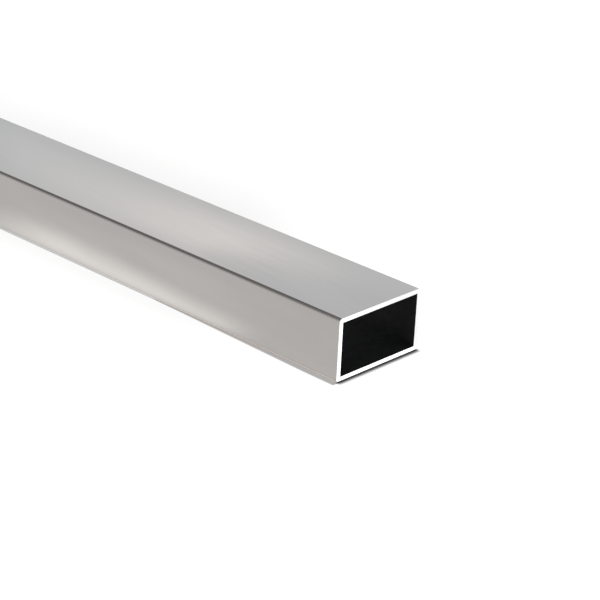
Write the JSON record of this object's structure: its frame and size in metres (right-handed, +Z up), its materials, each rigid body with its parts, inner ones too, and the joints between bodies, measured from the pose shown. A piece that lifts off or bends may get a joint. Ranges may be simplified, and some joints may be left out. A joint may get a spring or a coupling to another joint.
{
  "type": "rectangular metal tube",
  "caption": "Straight length of rectangular metal tube: a thin-walled box section with tight rounded corners, open through its whole length and sawn square at both ends.",
  "frame": {"origin": "on the ground, under the middle of the tube's length and width", "axes": "+X along the tube, +Y across its wide side, +Z up across its narrow side"},
  "size_m": [1, 0.07, 0.04],
  "materials": {
    "bright_steel": "bright stainless steel, smooth and fairly glossy with faint polishing lines along the length; the sawn ends are freshly cut and whiter, the inside is darker mill finish"
  },
  "bodies": {
    "root": {"tube": "bright_steel"}
  },
  "joints": []
}
